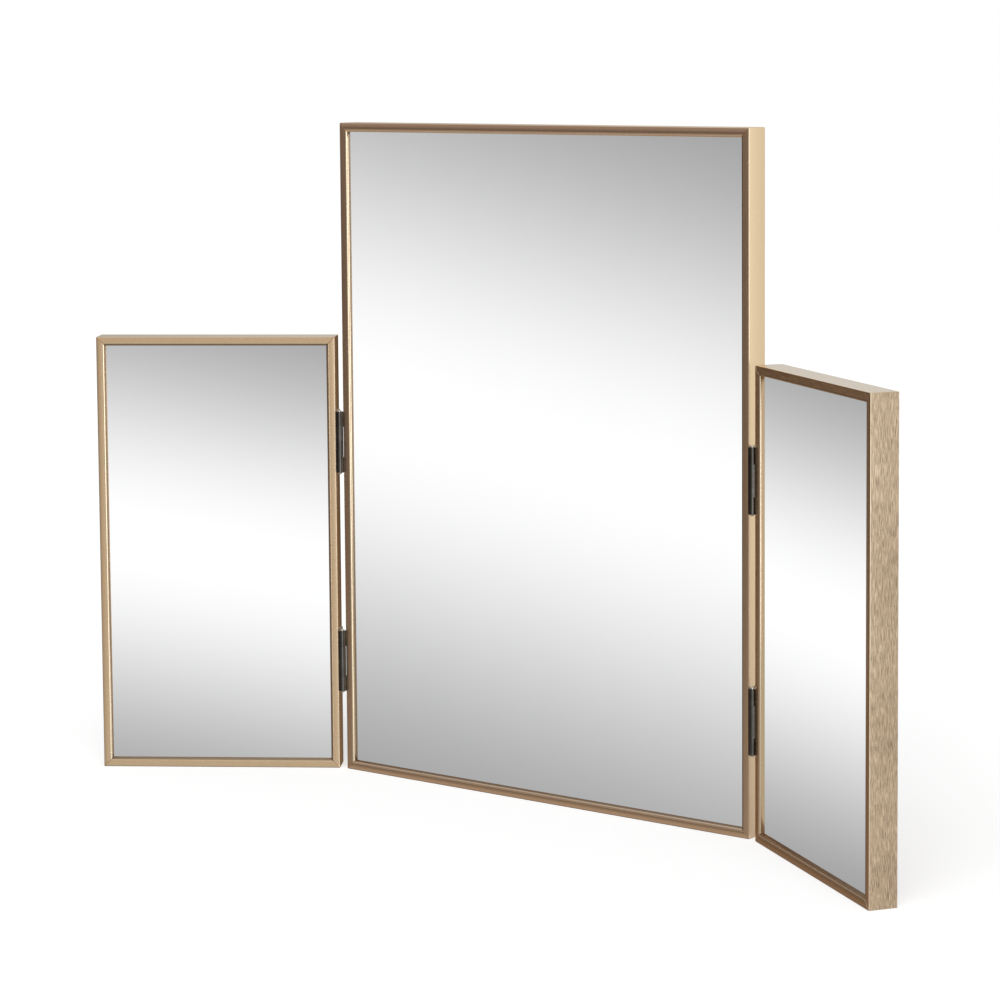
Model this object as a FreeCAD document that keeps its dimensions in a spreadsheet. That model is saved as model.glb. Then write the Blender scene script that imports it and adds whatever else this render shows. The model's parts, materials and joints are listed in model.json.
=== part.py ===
import FreeCAD, Part

import math
import os
import re

import Sketcher

# Trifold dressing-table mirror. Three framed mirrors stand side by side on their
# bottom rails. The wings hang on the centre panel by two butt hinges each, whose
# barrels lie in the gaps between the panels, just proud of the front faces.
#
# Row frame: X to the right, Y from front to back, Z up. The origin is on the
# underside of the centre bottom rail, at the middle of its length and depth.

Vector = FreeCAD.Vector
Rotation = FreeCAD.Rotation
Placement = FreeCAD.Placement

SIDE = Vector(1, 0, 0)
BACK = Vector(0, 1, 0)
UP = Vector(0, 0, 1)

# Closer than this, in millimetres, two places are the same one.
TOUCHING = 1e-6

doc = FreeCAD.newDocument("trifold_vanity_mirror")


# ---------------------------------------------------------------- driving sizes

SIZES = [
    # panels, outside the frames
    ("centre_width", 400.0, "width of the centre panel"),
    ("centre_height", 540.0, "height of the centre panel"),
    ("wing_width", 199.5, "width of a wing: two of them close side by side over the centre"),
    ("wing_height", 363.0, "height of a wing"),
    ("frame_depth", 22.0, "front to back of every frame"),
    # pose at rest
    ("left_rest_angle", 33.0, "left wing, forward of flat, degrees"),
    ("right_rest_angle", 34.0, "right wing, forward of flat, degrees"),
    # extruded frame section
    ("wall", 1.5, "outer wall of the extrusion"),
    ("lip_width", 7.4, "front lip, from the outer face to the glass"),
    ("lip_skin", 1.8, "thickness of the front lip"),
    ("lip_leg", 1.4, "thickness of the lip's leg that stands on the glass"),
    ("glass_recess", 4.8, "front face of the frame to the face of the glass"),
    ("bead_radius", 2.1, "rounded inner edge of the lip"),
    ("bead_groove", 0.4, "width of the fine groove outside the bead"),
    ("groove_depth", 0.25, "depth of that groove"),
    ("edge_radius", 0.5, "outer front edge"),
    ("channel_start", 15.0, "front face of the frame to the floor of the rear channel"),
    ("channel_skin", 1.2, "walls of the rear channel"),
    ("channel_reach", 10.8, "outer face to the inner side of the rear channel"),
    ("channel_lip", 2.2, "overhang of each lip of the rear channel"),
    ("bead_land", 0.02, "flat left between the groove and the rounding of the bead"),
    ("cut_overrun", 1.0, "how far a cut runs past the piece it cuts"),
    # what each frame holds
    ("glass_thickness", 3.0, "silvered glass"),
    ("card_thickness", 0.8, "card sheet behind the glass"),
    ("board_thickness", 3.0, "hardboard back"),
    ("glass_inset", 2.0, "outer face of the frame to the edge of the glass"),
    ("board_inset", 2.5, "outer face of the frame to the edge of the board"),
    # corner brackets in the rear channels
    ("bracket_leg", 34.0, "length of a bracket leg"),
    ("bracket_play", 0.2, "bracket to the side walls of the channel"),
    ("bracket_thickness", 2.2, "bracket plate"),
    ("grub_radius", 2.0, "grub screw"),
    ("grub_place", 25.0, "outer corner of the frame to the grub screw, along the rail"),
    ("grub_socket", 1.15, "radius of the screw's socket, across its corners"),
    ("grub_socket_depth", 1.6, "depth of that socket"),
    # springs between the board and the channel
    ("spring_length", 36.0, "length of a board spring along the rail"),
    ("spring_width", 12.0, "width of a board spring"),
    ("spring_skin", 0.5, "thickness of the spring strip"),
    # butt hinges
    ("half_gap", 3.2, "hinge axis to the outer face of either panel"),
    ("axis_proud", 1.0, "hinge axis in front of the front faces"),
    ("hinge_low", 91.5, "middle of the lower hinges above the table"),
    ("hinge_pitch", 184.0, "lower to upper hinge"),
    ("hinge_length", 51.0, "leaf and barrel"),
    ("leaf_reach", 20.0, "hinge axis to the far edge of a leaf"),
    ("leaf_skin", 1.2, "leaf plate"),
    ("leaf_corner", 1.5, "corner radius of a leaf"),
    ("barrel_radius", 3.05, "outside of the knuckles"),
    ("knuckle_middle", 25.0, "length of the wing's knuckle"),
    ("knuckle_play", 0.2, "gap between two knuckles"),
    ("notch_play", 0.4, "barrel to the notch in the other leaf"),
    ("pin_radius", 1.75, "hinge pin"),
    ("pin_play", 0.05, "pin to the bore of the wing's knuckle"),
    ("pin_tip", 1.4, "pin end standing out of the barrel"),
    ("pin_rounding", 1.3, "rounding of the pin ends"),
    # hinge screws
    ("screw_radius", 1.5, "shank"),
    ("screw_head_radius", 2.7, "countersunk head, as deep as the leaf"),
    ("screw_length", 8.5, "head and shank"),
    ("screw_pitch", 31.0, "between the two screws of a leaf"),
    ("screw_depth", 13.3, "front face of the frame to the line of the screws"),
    ("recess_span", 3.0, "cross recess in the head"),
    ("recess_width", 0.7, "arm of the cross recess"),
    ("recess_depth", 0.9, "depth of the cross recess"),
]

sheet = doc.addObject("Spreadsheet::Sheet", "Sizes")
for row, (alias, value, meaning) in enumerate(SIZES, start=1):
    sheet.set(f"A{row}", alias)
    sheet.set(f"B{row}", str(value))
    sheet.setAlias(f"B{row}", alias)
    sheet.set(f"C{row}", meaning)
doc.recompute()


def size(formula):
    """Value in millimetres of a formula written with the sheet's names."""
    return float(sheet.evalExpression(formula))


def qualified(formula):
    """The same formula as other objects of the document read it."""
    return re.sub(r"[a-z][a-z_]+", lambda name: "Sizes." + name.group(), formula)


def bind(thing, **formulas):
    """Ties properties of an object to formulas of the sheet's names."""
    for name, formula in formulas.items():
        thing.setExpression(name, qualified(formula))


# ------------------------------------------------------------- building helpers

NODES = []


def new_body(label):
    body = doc.addObject("PartDesign::Body", label)
    body.Label = label
    return body


def new_sketch(body, name, plane, lift="0"):
    """Empty sketch on one of the body's own planes, or lifted off it along its normal."""
    sketch = body.newObject("Sketcher::SketchObject", name)
    support = next(f for f in body.Origin.OriginFeatures if f.Role == plane)
    sketch.AttachmentSupport = [(support, "")]
    sketch.MapMode = "FlatFace"
    if lift != "0":
        sketch.setExpression(".AttachmentOffset.Base.z", qualified(lift))
    return sketch


def pin_coordinate(sketch, kind, geometry, position, formula):
    """Holds one coordinate of a sketched point at a formula of the sheet."""
    value = size(formula)
    if abs(value) < TOUCHING:
        axis = -2 if kind == "DistanceX" else -1
        sketch.addConstraint(Sketcher.Constraint("PointOnObject", geometry, position, axis))
        return
    ends = (-1, 1, geometry, position) if value > 0 else (geometry, position, -1, 1)
    number = sketch.addConstraint(Sketcher.Constraint(kind, *ends, abs(value)))
    held = formula if value > 0 else f"-({formula})"
    sketch.setExpression(f"Constraints[{number}]", qualified(held))


def add_outline(sketch, corners):
    """Closed straight-sided outline. Each corner is a pair of formulas."""
    points = [Vector(size(x), size(y), 0) for x, y in corners]
    first = sketch.GeometryCount
    count = len(points)
    for number in range(count):
        sketch.addGeometry(Part.LineSegment(points[number], points[(number + 1) % count]), False)
    for number in range(count):
        following = first + (number + 1) % count
        sketch.addConstraint(Sketcher.Constraint("Coincident", first + number, 2, following, 1))
    for number, (x, y) in enumerate(corners):
        pin_coordinate(sketch, "DistanceX", first + number, 1, x)
        pin_coordinate(sketch, "DistanceY", first + number, 1, y)


def add_circle(sketch, x, y, radius):
    circle = Part.Circle(Vector(size(x), size(y), 0), UP, size(radius))
    geometry = sketch.addGeometry(circle, False)
    number = sketch.addConstraint(Sketcher.Constraint("Radius", geometry, size(radius)))
    sketch.setExpression(f"Constraints[{number}]", qualified(radius))
    pin_coordinate(sketch, "DistanceX", geometry, 3, x)
    pin_coordinate(sketch, "DistanceY", geometry, 3, y)


def pad(body, sketch, name, length):
    """Solid of the sketch, as deep to one side of its plane as to the other."""
    feature = body.newObject("PartDesign::Pad", name)
    feature.Profile = sketch
    feature.Midplane = True
    bind(feature, Length=length)
    return feature


def cut_through(body, sketch, name):
    """Cuts the sketch out of the whole body, to both sides of its plane."""
    feature = body.newObject("PartDesign::Pocket", name)
    feature.Profile = sketch
    feature.Type = "ThroughAll"
    feature.Midplane = True
    return feature


def cut_depth(body, sketch, name, depth, along_normal):
    """Cuts the sketch out to one side of its plane, as deep as the formula says."""
    feature = body.newObject("PartDesign::Pocket", name)
    feature.Profile = sketch
    feature.Reversed = along_normal
    bind(feature, Length=depth)
    return feature


def round_edges(body, base, name, radius, wanted):
    """Rounds the edges of the base feature that a test picks out."""
    doc.recompute()
    edges = base.Shape.Edges
    names = [f"Edge{number}" for number, edge in enumerate(edges, start=1) if wanted(edge)]
    feature = body.newObject("PartDesign::Fillet", name)
    feature.Base = (base, names)
    bind(feature, Radius=radius)
    return feature


def primitive(kind, name, **formulas):
    """Part primitive with its sizes tied to the sheet."""
    thing = doc.addObject(kind, name)
    bind(thing, **formulas)
    return thing


def group(label, master, placements):
    """One node that holds a copy of the master piece at each placement."""
    copies = []
    for number, place in enumerate(placements, start=1):
        copy = doc.addObject("App::Link", f"{label}_{number}")
        copy.LinkedObject = master
        copy.LinkTransform = False
        copy.Placement = place
        copies.append(copy)
    bundle = doc.addObject("Part::Compound", label)
    bundle.Label = label
    bundle.Links = copies
    NODES.append(bundle)


def node(thing, placement):
    """Puts a finished piece in its place in the row frame and lists it for writing."""
    thing.Placement = placement.multiply(thing.Placement)
    NODES.append(thing)


# -------------------------------------------------------------------- the panels

class Panel:
    """One framed mirror. Its own frame is the row frame of the centre panel."""

    def __init__(self, name, width, height, placement, spring_places, hinged_stiles):
        self.name = name
        self.width = width
        self.height = height
        self.placement = placement
        self.spring_places = spring_places
        self.hinged_stiles = hinged_stiles

    def rail_frame(self, quarter_turns):
        """Frame of one rail: X along it, Y inwards from its outer face, Z from front to back.

        No turn gives the bottom rail, and each turn goes on to the left, top and right.
        """
        upright = quarter_turns % 2 == 1
        half = size(self.width if upright else self.height) / 2
        middle = Placement(Vector(0, 0, size(self.height) / 2), Rotation(BACK, 90 * quarter_turns))
        rail = Rotation(Vector(-1, 0, 0), UP, BACK, "XYZ")
        outer_face = Placement(Vector(0, -size("frame_depth") / 2, -half), rail)
        return middle.multiply(outer_face)

    def rail_length(self, quarter_turns):
        return self.height if quarter_turns % 2 == 1 else self.width


BOTTOM, LEFT, TOP, RIGHT = range(4)


def hinge_axis(side):
    """Foot of a hinge axis in the row frame. The side is -1 for left and 1 for right."""
    across = side * size("centre_width / 2 + half_gap")
    return Vector(across, -size("frame_depth / 2 + axis_proud"), 0)


def wing_turn(side):
    """Turn of a wing from flat, beside the centre panel, to its rest pose."""
    angle = size("left_rest_angle") if side < 0 else -size("right_rest_angle")
    return Placement(Vector(0, 0, 0), Rotation(UP, angle), hinge_axis(side))


def wing_placement(side):
    across = side * size("centre_width / 2 + 2 * half_gap + wing_width / 2")
    return wing_turn(side).multiply(Placement(Vector(across, 0, 0), Rotation()))


CENTRE = Panel(
    "centre", "centre_width", "centre_height", Placement(),
    spring_places={"rail": ("-centre_width / 4", "centre_width / 4"),
                   "stile": ("-centre_height / 5", "centre_height / 5")},
    hinged_stiles=(LEFT, RIGHT),
)
LEFT_WING = Panel(
    "left_wing", "wing_width", "wing_height", wing_placement(-1),
    spring_places={"rail": ("0",), "stile": ("-wing_height / 8", "wing_height / 8")},
    hinged_stiles=(RIGHT,),
)
RIGHT_WING = Panel(
    "right_wing", "wing_width", "wing_height", wing_placement(1),
    spring_places={"rail": ("0",), "stile": ("-wing_height / 8", "wing_height / 8")},
    hinged_stiles=(LEFT,),
)
PANELS = (CENTRE, LEFT_WING, RIGHT_WING)

# Extrusion, seen along its length: inwards from the outer face, then back from the front.
# It runs along the front lip, down the leg to the glass, back under the lip, round the
# rear channel and home along the outer wall.
SECTION = [
    ("0", "0"),
    ("lip_width - bead_radius - bead_groove", "0"),
    ("lip_width - bead_radius - bead_groove / 2", "groove_depth"),
    ("lip_width - bead_radius", "0"),
    ("lip_width", "0"),
    ("lip_width", "glass_recess"),
    ("lip_width - lip_leg", "glass_recess"),
    ("lip_width - lip_leg", "lip_skin"),
    ("wall", "lip_skin"),
    ("wall", "channel_start"),
    ("channel_reach", "channel_start"),
    ("channel_reach", "frame_depth"),
    ("channel_reach - channel_skin - channel_lip", "frame_depth"),
    ("channel_reach - channel_skin - channel_lip", "frame_depth - channel_skin"),
    ("channel_reach - channel_skin", "frame_depth - channel_skin"),
    ("channel_reach - channel_skin", "channel_start + channel_skin"),
    ("wall", "channel_start + channel_skin"),
    ("wall", "frame_depth - channel_skin"),
    ("wall + channel_lip", "frame_depth - channel_skin"),
    ("wall + channel_lip", "frame_depth"),
    ("0", "frame_depth"),
]

# Screw rows in a hinged stile, measured up from the table.
HINGE_SCREW_HEIGHTS = [
    f"hinge_low + {row} * hinge_pitch + {end} * screw_pitch / 2"
    for row in (0, 1)
    for end in (-1, 1)
]


def runs_along(edge, inwards, depth):
    """True for an edge along the rail at this place of the section."""
    box = edge.BoundBox
    straight = box.YLength < TOUCHING and box.ZLength < TOUCHING
    at_place = math.hypot(box.YMin - size(inwards), box.ZMin - size(depth)) < TOUCHING
    return straight and at_place


def frame_rail(panel, label, quarter_turns):
    """One length of the extrusion, mitred at both ends, drilled if it carries hinges."""
    body = new_body(label)
    length = panel.rail_length(quarter_turns)
    section = new_sketch(body, f"{label}_section", "YZ_Plane")
    add_outline(section, SECTION)
    bar = pad(body, section, f"{label}_bar", length)
    bead = round_edges(
        body, bar, f"{label}_bead", "bead_radius - bead_land",
        lambda edge: runs_along(edge, "lip_width", "0"))
    round_edges(
        body, bead, f"{label}_edge", "edge_radius",
        lambda edge: runs_along(edge, "0", "0"))

    mitres = new_sketch(body, f"{label}_mitres", "XY_Plane")
    for end in ("", "-"):
        add_outline(mitres, [
            (f"{end}({length} / 2)", "0"),
            (f"{end}({length} / 2)", "channel_reach + cut_overrun"),
            (f"{end}({length} / 2 - channel_reach - cut_overrun)", "channel_reach + cut_overrun"),
        ])
    body.Tip = cut_through(body, mitres, f"{label}_mitre_cut")

    if quarter_turns in panel.hinged_stiles:
        up = "" if quarter_turns == LEFT else "-"
        holes = new_sketch(body, f"{label}_holes", "XZ_Plane")
        for height in HINGE_SCREW_HEIGHTS:
            along = f"{up}({height} - {panel.height} / 2)"
            add_circle(holes, along, "screw_depth", "screw_radius")
        body.Tip = cut_depth(body, holes, f"{label}_screw_holes", "wall", along_normal=False)
    node(body, panel.placement.multiply(panel.rail_frame(quarter_turns)))


def sheet_of(panel, label, inset, depth, thickness):
    """Flat sheet held inside the frame, at a depth behind the frame's front."""
    plate = primitive(
        "Part::Box", label,
        Length=f"{panel.width} - 2 * {inset}",
        Width=thickness,
        Height=f"{panel.height} - 2 * {inset}",
    )
    plate.Label = label
    corner = Vector(
        -size(f"{panel.width} / 2 - {inset}"),
        size(f"{depth} - frame_depth / 2"),
        size(inset),
    )
    node(plate, panel.placement.multiply(Placement(corner, Rotation())))


def bracket_master():
    """L-shaped plate, drilled for two grub screws, with a frame's outer corner at its origin."""
    body = new_body("corner_bracket_master")
    plate = new_sketch(body, "corner_bracket_plan", "XY_Plane")
    near = "wall + bracket_play"
    far = "channel_reach - channel_skin - bracket_play"
    add_outline(plate, [
        (near, near),
        ("bracket_leg", near),
        ("bracket_leg", far),
        (far, far),
        (far, "bracket_leg"),
        (near, "bracket_leg"),
    ])
    middle = "(wall + channel_reach - channel_skin) / 2"
    add_circle(plate, "grub_place", middle, "grub_radius")
    add_circle(plate, middle, "grub_place", "grub_radius")
    pad(body, plate, "corner_bracket_plate", "bracket_thickness")
    return body


def grub_master():
    """Grub screw that stands on the channel's floor, Z along it, with a six-sided socket."""
    shank = primitive(
        "Part::Cylinder", "grub_shank",
        Radius="grub_radius",
        Height="frame_depth - 2 * channel_skin - channel_start",
    )
    socket = primitive(
        "Part::Prism", "grub_socket_hole",
        Circumradius="grub_socket",
        Height="grub_socket_depth",
    )
    socket.Polygon = 6
    bind(socket, **{
        "Placement.Base.z": "frame_depth - 2 * channel_skin - channel_start - grub_socket_depth"})
    screw = doc.addObject("Part::Cut", "grub_screw_master")
    screw.Base = shank
    screw.Tool = socket
    return screw


def spring_master():
    """Arched strip: ends on the board, crown under the channel. X along, Z back, Y inwards."""
    rise = "(channel_start - glass_recess - glass_thickness - card_thickness - board_thickness"
    rise += " - spring_skin)"
    outer = f"((spring_length * spring_length / 4 + {rise} * {rise}) / (2 * {rise}) + spring_skin)"
    crown = primitive("Part::Cylinder", "spring_crown", Radius=outer, Height="spring_width")
    hollow = primitive(
        "Part::Cylinder", "spring_hollow", Radius=f"{outer} - spring_skin", Height="spring_width")
    ring = doc.addObject("Part::Cut", "spring_ring")
    ring.Base = crown
    ring.Tool = hollow
    # The ring is turned about X so that its axis runs inwards, and cut to the arch.
    ring.Placement = Placement(
        Vector(0, size("spring_width"), size(f"channel_start - {outer}")), Rotation(SIDE, 90))
    window = primitive(
        "Part::Box", "spring_window",
        Length="spring_length", Width="spring_width", Height=f"{rise} + spring_skin")
    window.Placement = Placement(
        Vector(-size("spring_length") / 2, 0, size(f"channel_start - {rise} - spring_skin")),
        Rotation())
    strip = doc.addObject("Part::Common", "board_spring_master")
    strip.Base = ring
    strip.Tool = window
    return strip


def corner_frames(panel):
    """The four corners, each with X and Y inwards along its rails and Z from front to back."""
    frames = []
    for quarter_turns in (BOTTOM, LEFT, TOP, RIGHT):
        half = size(panel.rail_length(quarter_turns)) / 2
        corner = Placement(Vector(-half, 0, 0), Rotation())
        rail = panel.placement.multiply(panel.rail_frame(quarter_turns))
        frames.append(rail.multiply(corner))
    return frames


def bracket_places(panel):
    depth = size("frame_depth - channel_skin - bracket_thickness / 2")
    lift = Placement(Vector(0, 0, depth), Rotation())
    return [frame.multiply(lift) for frame in corner_frames(panel)]


def grub_places(panel):
    middle = size("(wall + channel_reach - channel_skin) / 2")
    along = size("grub_place")
    depth = size("channel_start + channel_skin")
    spots = (Vector(along, middle, depth), Vector(middle, along, depth))
    return [
        frame.multiply(Placement(spot, Rotation()))
        for frame in corner_frames(panel)
        for spot in spots
    ]


def spring_places(panel):
    places = []
    for quarter_turns in (BOTTOM, LEFT, TOP, RIGHT):
        kind = "stile" if quarter_turns % 2 == 1 else "rail"
        rail = panel.placement.multiply(panel.rail_frame(quarter_turns))
        for along in panel.spring_places[kind]:
            spot = Placement(Vector(size(along), size("board_inset"), 0), Rotation())
            places.append(rail.multiply(spot))
    return places


def build_panel(panel, bracket, grub, spring):
    name = panel.name
    frame_rail(panel, f"{name}_bottom_rail", BOTTOM)
    frame_rail(panel, f"{name}_left_stile", LEFT)
    frame_rail(panel, f"{name}_top_rail", TOP)
    frame_rail(panel, f"{name}_right_stile", RIGHT)
    sheet_of(panel, f"{name}_mirror_glass", "glass_inset", "glass_recess", "glass_thickness")
    sheet_of(panel, f"{name}_packing_card", "glass_inset",
             "(glass_recess + glass_thickness)", "card_thickness")
    sheet_of(panel, f"{name}_back_board", "board_inset",
             "(glass_recess + glass_thickness + card_thickness)", "board_thickness")
    group(f"{name}_corner_brackets", bracket, bracket_places(panel))
    group(f"{name}_corner_grub_screws", grub, grub_places(panel))
    group(f"{name}_board_springs", spring, spring_places(panel))


# -------------------------------------------------------------------- the hinges

def leaf_profile(sketch, bore):
    """Rolled leaf seen along the pin: the barrel round the origin, the plate behind it.

    The plate lies on the panel's side, so its outer face is a little further out than
    the barrel, and one short slope joins the two.
    """
    reach = size("leaf_reach")
    outer = size("half_gap")
    inner = size("half_gap - leaf_skin")
    barrel = size("barrel_radius")
    meeting = Vector(inner, math.sqrt(barrel ** 2 - inner ** 2), 0)
    side = Vector(barrel, 0, 0)
    far_outer = Vector(outer, reach, 0)
    near_outer = Vector(outer, size("axis_proud"), 0)
    far_inner = Vector(inner, reach, 0)

    slope = sketch.addGeometry(Part.LineSegment(side, near_outer), False)
    outside = sketch.addGeometry(Part.LineSegment(near_outer, far_outer), False)
    end = sketch.addGeometry(Part.LineSegment(far_outer, far_inner), False)
    inside = sketch.addGeometry(Part.LineSegment(far_inner, meeting), False)
    start_angle = math.atan2(meeting.y, meeting.x)
    circle = Part.Circle(Vector(0, 0, 0), UP, barrel)
    roll = sketch.addGeometry(Part.ArcOfCircle(circle, start_angle, 2 * math.pi), False)

    joined = [
        (slope, 2, outside, 1), (outside, 2, end, 1), (end, 2, inside, 1),
        (inside, 2, roll, 1), (roll, 2, slope, 1),
    ]
    for ends in joined:
        sketch.addConstraint(Sketcher.Constraint("Coincident", *ends))
    sketch.addConstraint(Sketcher.Constraint("Coincident", roll, 3, -1, 1))
    number = sketch.addConstraint(Sketcher.Constraint("Radius", roll, barrel))
    sketch.setExpression(f"Constraints[{number}]", qualified("barrel_radius"))
    pin_coordinate(sketch, "DistanceY", slope, 1, "0")
    pin_coordinate(sketch, "DistanceX", outside, 1, "half_gap")
    pin_coordinate(sketch, "DistanceY", outside, 1, "axis_proud")
    pin_coordinate(sketch, "DistanceX", end, 1, "half_gap")
    pin_coordinate(sketch, "DistanceY", end, 1, "leaf_reach")
    pin_coordinate(sketch, "DistanceX", inside, 1, "half_gap - leaf_skin")
    pin_coordinate(sketch, "DistanceY", inside, 1, "leaf_reach")
    pin_coordinate(sketch, "DistanceX", roll, 1, "half_gap - leaf_skin")
    add_circle(sketch, "0", "0", bore)


def rectangle(left, right, low, high):
    return [(left, low), (right, low), (right, high), (left, high)]


def is_leaf_corner(edge):
    """True for the short edges at the two far corners of a leaf."""
    box = edge.BoundBox
    across = box.YLength < TOUCHING and box.ZLength < TOUCHING
    far = abs(box.YMin - size("leaf_reach")) < TOUCHING
    return across and far


def hinge_leaf(label, bore, notches, placement):
    """One leaf. X points to the panel it is screwed to, Y back, and Z up from its middle."""
    body = new_body(label)
    profile = new_sketch(body, f"{label}_profile", "XY_Plane")
    leaf_profile(profile, bore)
    blank = pad(body, profile, f"{label}_blank", "hinge_length")
    round_edges(body, blank, f"{label}_corners", "leaf_corner", is_leaf_corner)

    # The notches make room for the other leaf's knuckles. They start in front of the barrel.
    near, far = "-(barrel_radius + cut_overrun)", "half_gap + cut_overrun"
    cuts = new_sketch(body, f"{label}_notch_plan", "XZ_Plane", lift="barrel_radius + cut_overrun")
    for low, high in notches:
        add_outline(cuts, rectangle(near, far, low, high))
    body.Tip = cut_depth(
        body, cuts, f"{label}_notches", "2 * barrel_radius + cut_overrun + notch_play",
        along_normal=False)

    doc.recompute()
    screws = new_sketch(body, f"{label}_screw_plan", "YZ_Plane", lift="half_gap - leaf_skin")
    for end in ("-", ""):
        add_circle(screws, "screw_depth + axis_proud", f"{end}screw_pitch / 2", "screw_radius")
    doc.recompute()
    holes = body.newObject("PartDesign::Hole", f"{label}_screw_holes")
    holes.Profile = screws
    doc.recompute()
    holes.Reversed = True
    holes.DepthType = "ThroughAll"
    holes.ThreadType = "None"
    holes.HoleCutType = "Countersink"
    holes.HoleCutCountersinkAngle = 90
    bind(holes, Diameter="2 * screw_radius", HoleCutDiameter="2 * screw_head_radius")
    body.Tip = holes
    node(body, placement)


def hinge_pin(label, placement):
    """Straight pin with rounded ends, Z along it from its middle."""
    body = new_body(label)
    disc = new_sketch(body, f"{label}_disc", "XY_Plane")
    add_circle(disc, "0", "0", "pin_radius")
    rod = pad(body, disc, f"{label}_rod", "hinge_length + 2 * pin_tip")
    body.Tip = round_edges(
        body, rod, f"{label}_tips", "pin_rounding", lambda edge: edge.BoundBox.ZLength < TOUCHING)
    node(body, placement)


def hinge_screw_master():
    """Countersunk screw, Z into the panel from the top of its head, with a cross recess."""
    body = new_body("hinge_screw_master")
    half = new_sketch(body, "hinge_screw_half", "XZ_Plane")
    add_outline(half, [
        ("0", "0"),
        ("screw_head_radius", "0"),
        ("screw_radius", "leaf_skin"),
        ("screw_radius", "screw_length - screw_radius"),
        ("0", "screw_length"),
    ])
    turned = body.newObject("PartDesign::Revolution", "hinge_screw_turned")
    turned.Profile = half
    turned.ReferenceAxis = (half, ["V_Axis"])
    turned.Angle = 360
    doc.recompute()
    cross = new_sketch(body, "hinge_screw_cross", "XY_Plane")
    arm, narrow = "recess_span / 2", "recess_width / 2"
    add_outline(cross, [
        (f"-{arm}", f"-{narrow}"), (f"-{narrow}", f"-{narrow}"), (f"-{narrow}", f"-{arm}"),
        (narrow, f"-{arm}"), (narrow, f"-{narrow}"), (arm, f"-{narrow}"),
        (arm, narrow), (narrow, narrow), (narrow, arm),
        (f"-{narrow}", arm), (f"-{narrow}", narrow), (f"-{arm}", narrow),
    ])
    body.Tip = cut_depth(body, cross, "hinge_screw_recess", "recess_depth", along_normal=True)
    return body


MIDDLE_KNUCKLE = "knuckle_middle / 2"
BEYOND = "(hinge_length / 2 + cut_overrun)"
CENTRE_LEAF_NOTCHES = [
    (f"-({MIDDLE_KNUCKLE} + knuckle_play / 2)", f"{MIDDLE_KNUCKLE} + knuckle_play / 2"),
]
WING_LEAF_NOTCHES = [
    (f"-{BEYOND}", f"-({MIDDLE_KNUCKLE} - knuckle_play / 2)"),
    (f"{MIDDLE_KNUCKLE} - knuckle_play / 2", BEYOND),
]
SIDES = {"left": -1, "right": 1}
ROWS = {"lower": 0, "upper": 1}


def hinge_frame(side, row, faces_right):
    """Middle of a hinge's axis, with X to the right or, turned about Y, to the left."""
    foot = hinge_axis(side)
    foot.z = size(f"hinge_low + {row} * hinge_pitch")
    turn = Rotation() if faces_right else Rotation(BACK, 180)
    return Placement(foot, turn)


def screw_spots(leaf_frame):
    """The two screws of a leaf, each with Z into the panel."""
    into_panel = Rotation(UP, SIDE)
    spots = []
    for end in (-1, 1):
        head = Vector(
            size("half_gap - leaf_skin"),
            size("screw_depth + axis_proud"),
            end * size("screw_pitch") / 2,
        )
        spots.append(leaf_frame.multiply(Placement(head, into_panel)))
    return spots


def build_hinges():
    screw = hinge_screw_master()
    centre_screws = []
    for side_name, side in SIDES.items():
        wing_screws = []
        for row_name, row in ROWS.items():
            name = f"{side_name}_{row_name}_hinge"
            to_centre = hinge_frame(side, row, faces_right=side < 0)
            to_wing = wing_turn(side).multiply(hinge_frame(side, row, faces_right=side > 0))
            hinge_leaf(f"{name}_centre_leaf", "pin_radius", CENTRE_LEAF_NOTCHES, to_centre)
            hinge_leaf(f"{name}_wing_leaf", "pin_radius + pin_play", WING_LEAF_NOTCHES, to_wing)
            hinge_pin(f"{name}_pin", to_centre)
            centre_screws += screw_spots(to_centre)
            wing_screws += screw_spots(to_wing)
        group(f"{side_name}_wing_hinge_screws", screw, wing_screws)
    group("centre_hinge_screws", screw, centre_screws)


# ------------------------------------------------------------- building and writing

def build():
    bracket = bracket_master()
    grub = grub_master()
    spring = spring_master()
    doc.recompute()
    for panel in PANELS:
        build_panel(panel, bracket, grub, spring)
    build_hinges()
    doc.recompute()


def check():
    """Stops the macro if any object failed or a node has no sound shape."""
    for thing in doc.Objects:
        if {"Invalid", "Error"} & set(thing.State):
            raise RuntimeError(f"{thing.Label} failed: {thing.State}")
    for thing in NODES:
        if thing.Shape.isNull() or not thing.Shape.isValid():
            raise RuntimeError(f"{thing.Label} has no valid shape")


def write():
    os.makedirs("parts", exist_ok=True)
    for thing in NODES:
        thing.Shape.exportStep(f"parts/{thing.Label}.step")
        box = thing.Shape.BoundBox
        print(f"{thing.Label:36s} solids {len(thing.Shape.Solids)}"
              f"  volume {thing.Shape.Volume:10.1f}"
              f"  X {box.XMin:7.1f} {box.XMax:7.1f}"
              f"  Y {box.YMin:7.1f} {box.YMax:7.1f}"
              f"  Z {box.ZMin:6.1f} {box.ZMax:6.1f}")


build()
check()
write()
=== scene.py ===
import json
import math

import bpy
from mathutils import Matrix, Vector

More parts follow.
